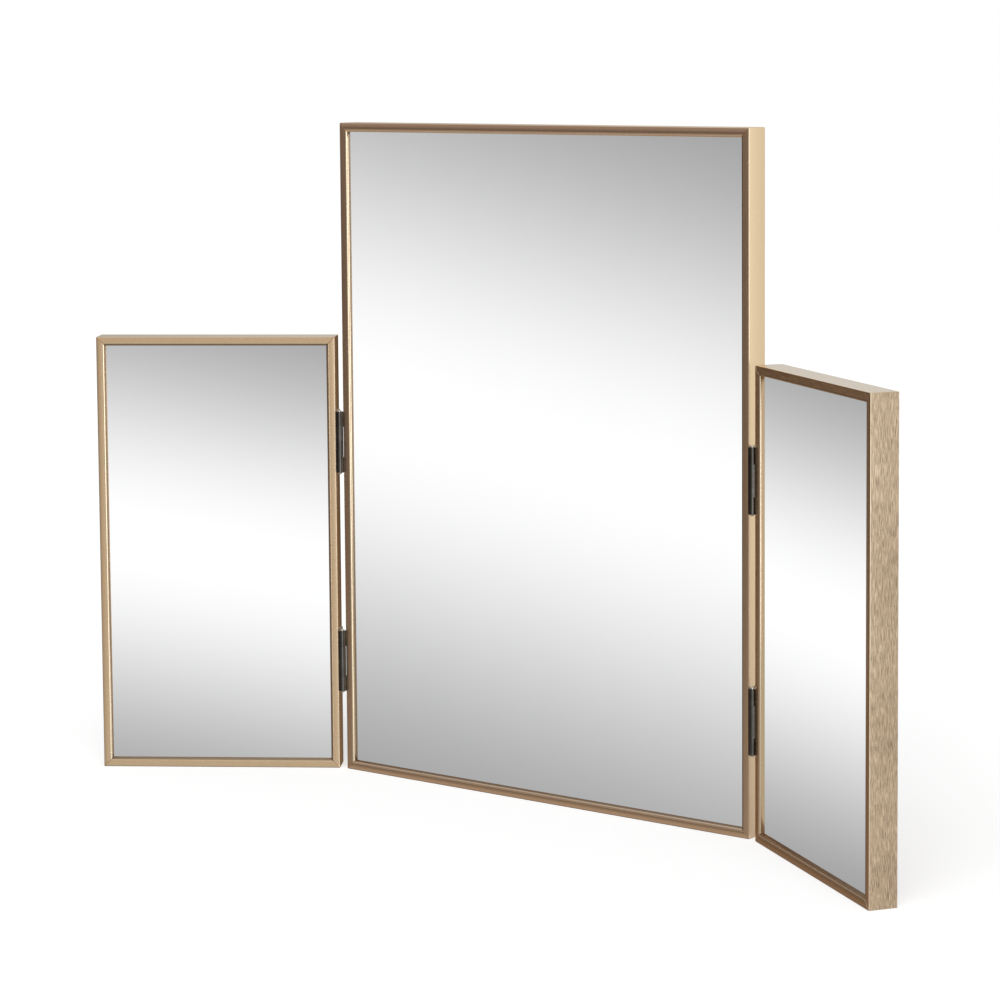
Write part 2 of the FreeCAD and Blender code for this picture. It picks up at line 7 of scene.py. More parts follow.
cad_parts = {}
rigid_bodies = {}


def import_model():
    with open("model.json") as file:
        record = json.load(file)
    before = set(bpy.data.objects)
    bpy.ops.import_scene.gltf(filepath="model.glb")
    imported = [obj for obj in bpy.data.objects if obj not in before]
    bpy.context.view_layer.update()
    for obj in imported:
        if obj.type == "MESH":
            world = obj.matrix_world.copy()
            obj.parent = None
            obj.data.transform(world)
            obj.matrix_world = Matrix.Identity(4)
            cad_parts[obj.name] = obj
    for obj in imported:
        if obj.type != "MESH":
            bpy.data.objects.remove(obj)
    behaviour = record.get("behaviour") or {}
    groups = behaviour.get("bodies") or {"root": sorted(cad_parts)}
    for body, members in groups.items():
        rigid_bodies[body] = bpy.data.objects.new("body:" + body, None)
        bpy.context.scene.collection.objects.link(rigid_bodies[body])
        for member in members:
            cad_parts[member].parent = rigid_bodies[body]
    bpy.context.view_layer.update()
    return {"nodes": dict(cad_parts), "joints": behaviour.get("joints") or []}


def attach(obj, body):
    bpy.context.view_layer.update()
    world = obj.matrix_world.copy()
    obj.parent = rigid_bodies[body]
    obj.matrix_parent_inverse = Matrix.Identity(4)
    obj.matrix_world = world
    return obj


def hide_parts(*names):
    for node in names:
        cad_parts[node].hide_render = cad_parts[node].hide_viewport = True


# Trifold dressing-table mirror: champagne brushed frames, silvered glass and black hinges,
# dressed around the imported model. Lengths are in metres unless a name says otherwise.

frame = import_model()

MM = 0.001

# ------------------------------------------------------------------ driving sizes

PANEL_SIZES = {
    "centre": (400.0 * MM, 540.0 * MM),
    "left_wing": (199.5 * MM, 363.0 * MM),
    "right_wing": (199.5 * MM, 363.0 * MM),
}
BODY_OF_PANEL = {"centre": "centre_panel", "left_wing": "left_wing", "right_wing": "right_wing"}
WING_REST_ANGLES = {"left_wing": math.radians(33.0), "right_wing": -math.radians(34.0)}
FRAME_DEPTH = 22.0 * MM
# From the middle of a hinge pin to the frame on either side of it.
HALF_GAP = 3.2 * MM

# Extrusion: outer wall, front lip with its bead and leg, and rear channel.
WALL = 1.5 * MM
LIP_WIDTH = 7.4 * MM
LIP_SKIN = 1.8 * MM
LIP_LEG = 1.4 * MM
GLASS_RECESS = 4.8 * MM
BEAD_RADIUS = 2.1 * MM
BEAD_GROOVE = 0.4 * MM
GROOVE_DEPTH = 0.05 * MM
EDGE_RADIUS = 0.5 * MM
CHANNEL_START = 15.0 * MM
CHANNEL_SKIN = 1.2 * MM
CHANNEL_REACH = 10.8 * MM
CHANNEL_LIP = 2.2 * MM
MITRE_BREAK = 0.3 * MM
EDGE_STEPS = 4
BEAD_STEPS = 12
CREASE_ANGLE = math.radians(28.0)
# At a mitre, a narrow corner of the section moves in by at most the break divided by this.
NARROW_CORNER = 0.5

# Glass, and the thin layers that stand for it inside its thickness.
GLASS_THICKNESS = 3.0 * MM
GLASS_INSET = 2.0 * MM
GLASS_PLAY = 0.02 * MM
SKIN_THICKNESS = 0.2 * MM
FACE_THICKNESS = 0.05 * MM

# Steps of the bead, counted from the front, that carry the polished finish with its painted
# highlight, set rail by rail. The steps after them carry the leg's finish, mostly a painted
# shade.
HIGHLIGHT_BEAD_STEPS = {
    "centre": {"bottom_rail": 6, "left_stile": 12, "top_rail": 12, "right_stile": 0},
    "left_wing": {"bottom_rail": 3, "left_stile": 6, "top_rail": 1, "right_stile": 0},
    "right_wing": {"bottom_rail": 6, "left_stile": 11, "top_rail": 0, "right_stile": 0},
}
# Rails whose lip has a satin leg down to the glass. On the others the leg, and the bead's steps
# past its painted highlight, carry a painted shade.
SATIN_LEGS = ("right_wing_left_stile",)

# ------------------------------------------------------------------ camera

CAMERA_PLACE = (1.41180, -1.89163, 0.59590)
CAMERA_YAW = math.radians(35.847)
CAMERA_PITCH = math.radians(-5.088)
CAMERA_ROLL = math.radians(-0.290)
CAMERA_LENS_MM = 107.906
CAMERA_SENSOR_MM = 36.0
CAMERA_SHIFT = (-0.09, -0.18)


# ------------------------------------------------------------------ node helpers

class Shader:
    """Short ways to add nodes to one tree and join them up."""

    def __init__(self, tree):
        self.tree = tree

    def add(self, kind, sockets=None, **properties):
        """New node with its properties set and its named sockets fed."""
        node = self.tree.nodes.new(kind)
        for name, value in properties.items():
            setattr(node, name, value)
        for name, value in (sockets or {}).items():
            self.feed(node.inputs[name], value)
        return node

    def feed(self, socket, value):
        """Joins a socket to another node's output, or sets a plain value on it."""
        if isinstance(value, bpy.types.NodeSocket):
            self.tree.links.new(value, socket)
        else:
            socket.default_value = value

    def maths(self, operation, first, second=0.0):
        node = self.tree.nodes.new("ShaderNodeMath")
        node.operation = operation
        self.feed(node.inputs[0], first)
        self.feed(node.inputs[1], second)
        return node.outputs[0]

    def remap(self, value, low, high, to_low=0.0, to_high=1.0, smooth=False):
        """The value's place between two limits, carried over to two others."""
        node = self.add("ShaderNodeMapRange", {
            "Value": value, "From Min": low, "From Max": high,
            "To Min": to_low, "To Max": to_high})
        node.interpolation_type = "SMOOTHSTEP" if smooth else "LINEAR"
        return node.outputs["Result"]

    def blend_colours(self, factor, first, second):
        node = self.add("ShaderNodeMix", data_type="RGBA")
        self.feed(node.inputs["Factor"], factor)
        self.feed(node.inputs["A"], first)
        self.feed(node.inputs["B"], second)
        return node.outputs["Result"]


def new_material(name):
    """Material with its node helper and its Principled shader."""
    material = bpy.data.materials.new(name)
    material.use_nodes = True
    shader = Shader(material.node_tree)
    principled = material.node_tree.nodes["Principled BSDF"]
    return material, shader, principled


def new_group(name, inputs, outputs):
    """Empty shader group with float, colour or vector sockets named in two dictionaries."""
    group = bpy.data.node_groups.new(name, "ShaderNodeTree")
    for direction, sockets in (("INPUT", inputs), ("OUTPUT", outputs)):
        for socket_name, (kind, value) in sockets.items():
            socket = group.interface.new_socket(
                socket_name, in_out=direction, socket_type=f"NodeSocket{kind}")
            if value is not None:
                socket.default_value = value
    shader = Shader(group)
    entry = group.nodes.new("NodeGroupInput")
    leave = group.nodes.new("NodeGroupOutput")
    return group, shader, entry, leave


def use_group(shader, group, sockets):
    """Places a group in a tree, with its own values."""
    node = shader.tree.nodes.new("ShaderNodeGroup")
    node.node_tree = group
    for name, value in sockets.items():
        shader.feed(node.inputs[name], value)
    return node


# ------------------------------------------------------------------ shared effects

# Length and width of the brushing strokes where a finish doesn't give its own.
PLAIN_STROKE = (6.0 * MM, 0.8 * MM)
STROKE_NOISE = {"Scale": 1.0, "Detail": 4.0, "Roughness": 0.72, "Distortion": 0.25}
HAIRLINE_NOISE = {"Scale": 1.0, "Detail": 2.0, "Roughness": 0.5}
# How much finer the hairlines are than the strokes, along them and across them.
HAIRLINE_FINENESS = (0.35, 4.5, 4.5)
CLOUD_NOISE = {"Scale": 18.0, "Detail": 2.0, "Roughness": 0.5}
GRAIN_NOISE = {"Detail": 3.0, "Roughness": 0.6}
PATCH_NOISE = {"Detail": 2.0, "Roughness": 0.5}
PLAIN_GRAIN_SIZE = 0.5 * MM
PLAIN_PATCH_SIZE = 10.0 * MM


def grain_group():
    """Brushed lines: long in the first direction of the coordinates, fine in the others."""
    group, s, entry, leave = new_group(
        "brushed_grain",
        {"Vector": ("Vector", None), "Stroke Length": ("Float", PLAIN_STROKE[0]),
         "Stroke Width": ("Float", PLAIN_STROKE[1])},
        {"Strokes": ("Float", None), "Hairlines": ("Float", None), "Cloud": ("Float", None)},
    )
    along = s.maths("DIVIDE", 1.0, entry.outputs["Stroke Length"])
    across = s.maths("DIVIDE", 1.0, entry.outputs["Stroke Width"])
    scale = s.add("ShaderNodeCombineXYZ", {"X": along, "Y": across, "Z": across})
    placed = s.add("ShaderNodeVectorMath", operation="MULTIPLY")
    s.feed(placed.inputs[0], entry.outputs["Vector"])
    s.feed(placed.inputs[1], scale.outputs[0])
    strokes = s.add("ShaderNodeTexNoise", {"Vector": placed.outputs[0], **STROKE_NOISE})
    finer = s.add("ShaderNodeVectorMath", operation="MULTIPLY")
    s.feed(finer.inputs[0], placed.outputs[0])
    s.feed(finer.inputs[1], HAIRLINE_FINENESS)
    hairlines = s.add("ShaderNodeTexNoise", {"Vector": finer.outputs[0], **HAIRLINE_NOISE})
    cloud = s.add("ShaderNodeTexNoise", {"Vector": entry.outputs["Vector"], **CLOUD_NOISE})
    s.feed(leave.inputs["Strokes"], strokes.outputs["Fac"])
    s.feed(leave.inputs["Hairlines"], hairlines.outputs["Fac"])
    s.feed(leave.inputs["Cloud"], cloud.outputs["Fac"])
    return group


def speckle_group():
    """Fine even grain with a slow change of tone over it, for plated and pressed pieces."""
    group, s, entry, leave = new_group(
        "surface_speckle",
        {"Vector": ("Vector", None), "Grain Size": ("Float", PLAIN_GRAIN_SIZE),
         "Patch Size": ("Float", PLAIN_PATCH_SIZE)},
        {"Grain": ("Float", None), "Patches": ("Float", None)},
    )
    grain = s.add("ShaderNodeTexNoise", {
        "Vector": entry.outputs["Vector"],
        "Scale": s.maths("DIVIDE", 1.0, entry.outputs["Grain Size"]), **GRAIN_NOISE})
    patches = s.add("ShaderNodeTexNoise", {
        "Vector": entry.outputs["Vector"],
        "Scale": s.maths("DIVIDE", 1.0, entry.outputs["Patch Size"]), **PATCH_NOISE})
    s.feed(leave.inputs["Grain"], grain.outputs["Fac"])
    s.feed(leave.inputs["Patches"], patches.outputs["Fac"])
    return group


GRAIN = grain_group()
SPECKLE = speckle_group()


# ------------------------------------------------------------------ materials

# Limits between which a noise's values mostly lie.
NOISE_SPAN = (0.3, 0.7)
HAIRLINE_SPAN = (0.25, 0.75)
BOARD_SPAN = (0.3, 0.75)
# Shares of the strokes and the cloud in a rail's tone, and of the hairlines in its relief.
STROKE_SHARE = 0.92
CLOUD_SHARE = 0.08
HAIRLINE_SHARE = 0.2
# Colour of the satin metal at a glancing angle.
GLANCING_CHAMPAGNE = (0.88, 0.72, 0.57, 1.0)
SKIN_PATCH = 150.0 * MM
SILVER_PATCH = 200.0 * MM
PLATED_PATCH = 8.0 * MM
PLATED_SPREAD = 0.06
BOARD_PATCH = 30.0 * MM
BOARD_SPREAD = 0.08
BOARD_RELIEF = {"Distance": 0.04 * MM, "Strength": 0.8}
# Shares in a board's tone, and the flecks that lie along one fibre's width.
FIBRE_SHARE = 0.6
PATCH_SHARE = 0.25
FLECK_SHARE = 0.2
FLECKS_PER_FIBRE = 0.45


def champagne_metal(name, deep, pale, roughness, spread, relief,
                    stroke=PLAIN_STROKE, contrast=NOISE_SPAN, glancing=None):
    """Anodised champagne aluminium, brushed along the rail that carries the coordinates."""
    material, s, surface = new_material(name)
    place = s.add("ShaderNodeUVMap", uv_map="along_rail")
    grain = use_group(s, GRAIN, {
        "Vector": place.outputs["UV"], "Stroke Length": stroke[0], "Stroke Width": stroke[1]})
    tone = s.maths("ADD", s.maths("MULTIPLY", grain.outputs["Strokes"], STROKE_SHARE),
                   s.maths("MULTIPLY", grain.outputs["Cloud"], CLOUD_SHARE))
    shade = s.remap(tone, *contrast)
    s.feed(surface.inputs["Base Color"], s.blend_colours(shade, deep, pale))
    s.feed(surface.inputs["Roughness"], s.remap(
        grain.outputs["Hairlines"], *HAIRLINE_SPAN, roughness - spread, roughness + spread))
    surface.inputs["Metallic"].default_value = 1.0
    height = s.maths("ADD", grain.outputs["Strokes"],
                     s.maths("MULTIPLY", grain.outputs["Hairlines"], HAIRLINE_SHARE))
    bump = s.add("ShaderNodeBump", {"Height": height, "Distance": relief, "Strength": 1.0})
    s.feed(surface.inputs["Normal"], bump.outputs["Normal"])
    if glancing:
        surface.inputs["Specular Tint"].default_value = glancing
    return material


def clear_glass():
    """Clear skin over a mirror, which doesn't bend what passes through it."""
    material, s, surface = new_material("mirror_clear_skin")
    place = s.add("ShaderNodeTexCoord")
    speckle = use_group(s, SPECKLE, {
        "Vector": place.outputs["Object"], "Patch Size": SKIN_PATCH})
    s.feed(surface.inputs["Base Color"], s.blend_colours(
        s.remap(speckle.outputs["Patches"], *NOISE_SPAN),
        (0.990, 0.996, 0.993, 1.0), (0.998, 1.0, 0.999, 1.0)))
    surface.inputs["Roughness"].default_value = 0.0
    surface.inputs["IOR"].default_value = 1.0
    surface.inputs["Transmission Weight"].default_value = 1.0
    return material


def silvering():
    """Polished silver, which is a trace darker in some places than in others."""
    material, s, surface = new_material("silver_coating")
    place = s.add("ShaderNodeTexCoord")
    speckle = use_group(s, SPECKLE, {
        "Vector": place.outputs["Object"], "Patch Size": SILVER_PATCH})
    s.feed(surface.inputs["Base Color"], s.blend_colours(
        s.remap(speckle.outputs["Patches"], *NOISE_SPAN),
        (0.966, 0.970, 0.968, 1.0), (0.978, 0.980, 0.979, 1.0)))
    surface.inputs["Metallic"].default_value = 1.0
    surface.inputs["Roughness"].default_value = 0.0
    return material


def plated_metal(name, deep, pale, roughness, relief, grain_size=PLAIN_GRAIN_SIZE):
    """Plated or blackened steel with a fine grain."""
    material, s, surface = new_material(name)
    place = s.add("ShaderNodeTexCoord")
    speckle = use_group(s, SPECKLE, {
        "Vector": place.outputs["Object"], "Grain Size": grain_size,
        "Patch Size": PLATED_PATCH})
    s.feed(surface.inputs["Base Color"], s.blend_colours(
        s.remap(speckle.outputs["Patches"], *NOISE_SPAN), deep, pale))
    s.feed(surface.inputs["Roughness"], s.remap(
        speckle.outputs["Grain"], *NOISE_SPAN,
        roughness - PLATED_SPREAD, roughness + PLATED_SPREAD))
    surface.inputs["Metallic"].default_value = 1.0
    bump = s.add("ShaderNodeBump", {
        "Height": speckle.outputs["Grain"], "Distance": relief, "Strength": 1.0})
    s.feed(surface.inputs["Normal"], bump.outputs["Normal"])
    return material


def pressed_board(name, deep, pale, roughness, fibre_size):
    """Hardboard or card: matted fibres with darker and paler flecks."""
    material, s, surface = new_material(name)
    place = s.add("ShaderNodeTexCoord")
    speckle = use_group(s, SPECKLE, {
        "Vector": place.outputs["Object"], "Grain Size": fibre_size,
        "Patch Size": BOARD_PATCH})
    flecks = s.add("ShaderNodeTexVoronoi", {
        "Vector": place.outputs["Object"], "Scale": FLECKS_PER_FIBRE / fibre_size,
        "Randomness": 1.0})
    tone = s.maths("ADD", s.maths("MULTIPLY", speckle.outputs["Grain"], FIBRE_SHARE),
                   s.maths("MULTIPLY", speckle.outputs["Patches"], PATCH_SHARE))
    tone = s.maths("ADD", tone, s.maths("MULTIPLY", flecks.outputs["Distance"], FLECK_SHARE))
    s.feed(surface.inputs["Base Color"], s.blend_colours(
        s.remap(tone, *BOARD_SPAN), deep, pale))
    s.feed(surface.inputs["Roughness"], s.remap(
        speckle.outputs["Grain"], *NOISE_SPAN,
        roughness - BOARD_SPREAD, roughness + BOARD_SPREAD))
    bump = s.add("ShaderNodeBump", {"Height": speckle.outputs["Grain"], **BOARD_RELIEF})
    s.feed(surface.inputs["Normal"], bump.outputs["Normal"])
    return material


SATIN_CHAMPAGNE = champagne_metal(
    "satin_champagne", (0.775, 0.598, 0.436, 1.0), (0.820, 0.640, 0.472, 1.0),
    roughness=0.24, spread=0.04, relief=0.000005, glancing=GLANCING_CHAMPAGNE)
# Leg down to the glass and the bead's inner steps: darker and duller champagne, a painted shade
# in the recess.
RECESS_PAINTED_SHADE = champagne_metal(
    "recess_painted_shade", (0.36, 0.27, 0.200, 1.0), (0.44, 0.335, 0.250, 1.0),
    roughness=0.42, spread=0.06, relief=0.000005, glancing=GLANCING_CHAMPAGNE)
# Outer front edge of the bottom rails: dark brown, a painted contact shadow along the floor.
EDGE_PAINTED_SHADOW = champagne_metal(
    "edge_painted_shadow", (0.13, 0.095, 0.068, 1.0), (0.19, 0.142, 0.104, 1.0),
    roughness=0.42, spread=0.06, relief=0.000005)
BRUSHED_CHAMPAGNE = champagne_metal(
    "brushed_champagne", (0.34, 0.247, 0.172, 1.0), (0.94, 0.78, 0.61, 1.0),
    roughness=0.33, spread=0.08, relief=0.00003, stroke=(0.0088, 0.00038),
    contrast=(0.40, 0.61))
SMOOTH_TOP = champagne_metal(
    "smooth_champagne_top", (0.765, 0.590, 0.430, 1.0), (0.820, 0.640, 0.472, 1.0),
    roughness=0.28, spread=0.05, relief=0.00001)
# Polished bead, also on the outer front edges of all but the bottom rails: the smoother polish
# is real, the paler colour is a painted highlight.
POLISHED_BEAD_HIGHLIGHT = champagne_metal(
    "polished_bead_painted_highlight", (0.85, 0.71, 0.55, 1.0), (0.89, 0.75, 0.59, 1.0),
    roughness=0.17, spread=0.02, relief=0.000001, stroke=(0.02, 0.0006))
FRONT_GLASS = clear_glass()
SILVER = silvering()
BLACK_HINGE = plated_metal(
    "blackened_hinge_steel", (0.085, 0.084, 0.085, 1.0), (0.125, 0.124, 0.125, 1.0),
    roughness=0.11, relief=0.000001)
BLACK_SCREW = plated_metal(
    "blackened_screw_steel", (0.10, 0.098, 0.096, 1.0), (0.15, 0.148, 0.145, 1.0),
    roughness=0.34, relief=0.00001)
BRIGHT_PIN = plated_metal(
    "turned_pin_steel", (0.66, 0.64, 0.62, 1.0), (0.76, 0.745, 0.73, 1.0),
    roughness=0.22, relief=0.000005)
ZINC = plated_metal(
    "zinc_plate", (0.50, 0.52, 0.55, 1.0), (0.68, 0.70, 0.72, 1.0),
    roughness=0.38, relief=0.00001, grain_size=0.0012)
HARDBOARD = pressed_board(
    "dark_hardboard", (0.115, 0.068, 0.040, 1.0), (0.215, 0.135, 0.082, 1.0),
    roughness=0.55, fibre_size=0.0009)
GREY_CARD = pressed_board(
    "grey_card", (0.52, 0.50, 0.47, 1.0), (0.66, 0.64, 0.60, 1.0),
    roughness=0.85, fibre_size=0.0006)

CAD_FINISHES = {
    "packing_card": GREY_CARD,
    "back_board": HARDBOARD,
    "corner_brackets": ZINC,
    "corner_grub_screws": ZINC,
    "board_springs": ZINC,
    "leaf": BLACK_HINGE,
    "hinge_screws": BLACK_SCREW,
    "hinge_pin": BRIGHT_PIN,
}


def dress_cad_nodes():
    """Gives each CAD node that stays in view its finish."""
    for name, thing in frame["nodes"].items():
        for ending, material in CAD_FINISHES.items():
            if name.endswith(ending):
                thing.data.materials.clear()
                thing.data.materials.append(material)


# ------------------------------------------------------------------ frames

def arc(centre, radius, start, end, steps):
    """Points of an arc from one angle to another, in degrees, both ends included."""
    points = []
    for step in range(steps + 1):
        angle = math.radians(start + (end - start) * step / steps)
        points.append((centre[0] + radius * math.cos(angle),
                       centre[1] + radius * math.sin(angle)))
    return points


def rail_section(highlight_steps):
    """Closed outline of the extrusion as (inwards, back) points, and the finish of each edge.

    It runs along the front lip, round the bead, down the leg to the glass, back under the
    lip, round the rear channel and home along the outer wall. The finishes are numbers in a
    rail's list of materials: satin, polished bead with a painted highlight, wall, leg with a
    painted shade except on the satin legs, outer front edge. The bead carries the painted
    highlight for a number of steps from the front and the leg's finish from there on.
    """
    satin, bright, outside, recess, outer_edge = range(5)
    groove_end = LIP_WIDTH - BEAD_RADIUS
    front = arc((EDGE_RADIUS, EDGE_RADIUS), EDGE_RADIUS, 180.0, 270.0, EDGE_STEPS)
    front += [
        (groove_end - BEAD_GROOVE, 0.0),
        (groove_end - BEAD_GROOVE / 2, GROOVE_DEPTH),
    ]
    bead_first = len(front)
    front += arc((groove_end, BEAD_RADIUS), BEAD_RADIUS, 270.0, 360.0, BEAD_STEPS)
    channel_wall = CHANNEL_REACH - CHANNEL_SKIN
    rear_inside = FRAME_DEPTH - CHANNEL_SKIN
    rest = [
        (LIP_WIDTH, GLASS_RECESS),
        (LIP_WIDTH - LIP_LEG, GLASS_RECESS),
        (LIP_WIDTH - LIP_LEG, LIP_SKIN),
        (WALL, LIP_SKIN),
        (WALL, CHANNEL_START),
        (CHANNEL_REACH, CHANNEL_START),
        (CHANNEL_REACH, FRAME_DEPTH),
        (channel_wall - CHANNEL_LIP, FRAME_DEPTH),
        (channel_wall - CHANNEL_LIP, rear_inside),
        (channel_wall, rear_inside),
        (channel_wall, CHANNEL_START + CHANNEL_SKIN),
        (WALL, CHANNEL_START + CHANNEL_SKIN),
        (WALL, rear_inside),
        (WALL + CHANNEL_LIP, rear_inside),
        (WALL + CHANNEL_LIP, FRAME_DEPTH),
        (0.0, FRAME_DEPTH),
    ]
    outline = front + rest
    finishes = [satin] * len(outline)
    finishes[:EDGE_STEPS] = [outer_edge] * EDGE_STEPS
    leg = bead_first + BEAD_STEPS
    finishes[bead_first:leg + 1] = [recess] * (BEAD_STEPS + 1)
    finishes[bead_first:bead_first + highlight_steps] = [bright] * highlight_steps
    finishes[-1] = outside
    return outline, finishes


def shrunk(outline, distance):
    """The outline moved into the metal by a distance, corner by corner."""
    moved = []
    count = len(outline)
    for number in range(count):
        before = Vector(outline[number - 1])
        here = Vector(outline[number])
        after = Vector(outline[(number + 1) % count])
        incoming = (here - before).normalized()
        outgoing = (after - here).normalized()
        # The outline turns clockwise as (inwards, back), so the metal is on its left.
        first = Vector((-incoming.y, incoming.x))
        second = Vector((-outgoing.y, outgoing.x))
        middle = (first + second).normalized()
        reach = distance / max(NARROW_CORNER, middle.dot(first))
        moved.append(tuple(here + middle * reach))
    return moved


def rail_mesh(name, length, wall_finish, leg_finish, edge_finish, highlight_steps):
    """Rail along X with mitred ends, whose sharp mitre corners are lightly broken."""
    outline, finishes = rail_section(highlight_steps)
    end_outline = shrunk(outline, MITRE_BREAK)
    rings = []
    for side in (-1, 1):
        ends = [(side * (length / 2 - u), u, v) for u, v in end_outline]
        body = [(side * (length / 2 - u - MITRE_BREAK), u, v) for u, v in outline]
        rings += [ends, body] if side < 0 else [body, ends]
    count = len(outline)
    vertices = [point for ring in rings for point in ring]
    faces = []
    for ring in range(len(rings) - 1):
        for number in range(count):
            following = (number + 1) % count
            base, upper = ring * count, (ring + 1) * count
            faces.append((base + number, base + following, upper + following, upper + number))
    faces.append(tuple(range(count))[::-1])
    faces.append(tuple(range((len(rings) - 1) * count, len(rings) * count)))

    mesh = bpy.data.meshes.new(name)
    mesh.from_pydata(vertices, [], faces)
    for finish in (SATIN_CHAMPAGNE, POLISHED_BEAD_HIGHLIGHT, wall_finish, leg_finish, edge_finish):
        mesh.materials.append(finish)
    for polygon, finish in zip(mesh.polygons, finishes * (len(rings) - 1)):
        polygon.material_index = finish

    around = [0.0]
    for number in range(count):
        step = Vector(outline[(number + 1) % count]) - Vector(outline[number])
        around.append(around[-1] + step.length)
    strip = mesh.uv_layers.new(name="along_rail")
    for polygon in mesh.polygons:
        numbers = [mesh.loops[loop].vertex_index % count for loop in polygon.loop_indices]
        wraps = len(numbers) == 4 and {0, count - 1} <= set(numbers)
        for loop, number in zip(polygon.loop_indices, numbers):
            vertex = mesh.vertices[mesh.loops[loop].vertex_index]
            distance = around[count] if wraps and number == 0 else around[number]
            strip.data[loop].uv = (vertex.co.x, distance)
    mesh.shade_smooth()
    mesh.set_sharp_from_angle(angle=CREASE_ANGLE)
    return mesh


def panel_place(panel):
    """Matrix that takes a panel standing at the middle of the row frame to its rest place."""
    if panel == "centre":
        return Matrix.Identity(4)
    joint = next(j for j in frame["joints"] if j["child"] == panel)
    axis = Vector(joint["pos_m"])
    axis.z = 0.0
    side = -1 if axis.x < 0 else 1
    width = PANEL_SIZES[panel][0]
    flat = Matrix.Translation((axis.x + side * (HALF_GAP + width / 2), 0.0, 0.0))
    turn = Matrix.Rotation(WING_REST_ANGLES[panel], 4, "Z")
    return Matrix.Translation(axis) @ turn @ Matrix.Translation(-axis) @ flat


def rail_place(width, height, quarter_turns):
    """Matrix from a rail's own frame (along, inwards, back) to its panel's frame."""
    upright = quarter_turns % 2 == 1
    half = (width if upright else height) / 2
    middle = Matrix.Translation((0.0, 0.0, height / 2))
    turn = Matrix.Rotation(math.radians(90.0 * quarter_turns), 4, "Y")
    rail = Matrix(((-1, 0, 0, 0), (0, 0, 1, -FRAME_DEPTH / 2), (0, 1, 0, -half), (0, 0, 0, 1)))
    return middle @ turn @ rail


# In the order of the quarter turns that take a rail to its place.
RAILS = ("bottom_rail", "left_stile", "top_rail", "right_stile")
# Outer walls that aren't satin.
WALL_FINISHES = {
    "left_wing_bottom_rail": BRUSHED_CHAMPAGNE,
    "left_wing_left_stile": BRUSHED_CHAMPAGNE,
    "left_wing_top_rail": SMOOTH_TOP,
    "right_wing_bottom_rail": BRUSHED_CHAMPAGNE,
    "right_wing_right_stile": BRUSHED_CHAMPAGNE,
    "right_wing_top_rail": SMOOTH_TOP,
}


def build_frames():
    """Four rails and stiles to each panel, with the finishes that each of them has."""
    for panel, (width, height) in PANEL_SIZES.items():
        for quarter_turns, rail in enumerate(RAILS):
            node = f"{panel}_{rail}"
            length = height if quarter_turns % 2 == 1 else width
            wall = WALL_FINISHES.get(node, SATIN_CHAMPAGNE)
            leg = SATIN_CHAMPAGNE if node in SATIN_LEGS else RECESS_PAINTED_SHADE
            # Bottom rails' outer front edges carry a painted shadow; the other rails' outer
            # front edges carry the bead's painted highlight.
            edge = EDGE_PAINTED_SHADOW if rail == "bottom_rail" else POLISHED_BEAD_HIGHLIGHT
            mesh = rail_mesh(f"{node}_extrusion", length, wall, leg, edge,
                             HIGHLIGHT_BEAD_STEPS[panel][rail])
            mesh.transform(panel_place(panel) @ rail_place(width, height, quarter_turns))
            show(mesh, f"{node}_extrusion", panel, "frame_metal", node)


def show(mesh, name, panel, slot, *nodes):
    """Adds a mesh in place as a piece that stands for CAD nodes."""
    piece = bpy.data.objects.new(name, mesh)
    bpy.context.scene.collection.objects.link(piece)
    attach(piece, BODY_OF_PANEL[panel])
    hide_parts(*nodes)
    return piece


# ------------------------------------------------------------------ mirrors

def sheet_mesh(name, width, height, front, back, material):
    """Flat upright sheet of a panel's mirror, between two depths behind the frame's front."""
    half = width / 2 - GLASS_INSET
    low, high = GLASS_INSET, height - GLASS_INSET
    vertices = [(x, y - FRAME_DEPTH / 2, z) for y in (front, back) for x, z in
                ((-half, low), (half, low), (half, high), (-half, high))]
    faces = [(0, 1, 2, 3), (7, 6, 5, 4)]
    faces += [(number, number + 4, (number + 1) % 4 + 4, (number + 1) % 4)
              for number in range(4)]
    mesh = bpy.data.meshes.new(name)
    mesh.from_pydata(vertices, [], faces)
    mesh.materials.append(material)
    return mesh


def build_mirrors():
    """Each mirror is a silvered pane under a thin clear skin and a thin bright face.

    The eye sees the silver itself. What the silver reflects passes the skin, so it counts as
    light through glass, and the pieces around it keep out of its way. The metal sees the
    bright face instead, as a plain mirror.
    """
    face_front = GLASS_RECESS + GLASS_PLAY
    skin_front = face_front + FACE_THICKNESS + GLASS_PLAY
    pane_front = skin_front + SKIN_THICKNESS + GLASS_PLAY
    pane_back = GLASS_RECESS + GLASS_THICKNESS - GLASS_PLAY
    layers = (
        ("bright_face", face_front, face_front + FACE_THICKNESS, SILVER),
        ("mirror_skin", skin_front, skin_front + SKIN_THICKNESS, FRONT_GLASS),
        ("silvered_pane", pane_front, pane_back, SILVER),
    )
    for panel, (width, height) in PANEL_SIZES.items():
        for layer, front, back, material in layers:
            mesh = sheet_mesh(f"{panel}_{layer}", width, height, front, back, material)
            mesh.transform(panel_place(panel))
            sheet = show(mesh, mesh.name, panel, "mirror_glass", f"{panel}_mirror_glass")
            if layer != "silvered_pane":
                sheet.visible_camera = False
                sheet.visible_diffuse = False
                sheet.visible_shadow = False


def clear_the_reflections():
    """Keeps every piece out of the mirrors, which show the studio's light alone."""
    for thing in bpy.context.scene.objects:
        if thing.type == "MESH":
            thing.visible_transmission = False


# ------------------------------------------------------------------ studio

WHITE = (1.0, 1.0, 1.0)

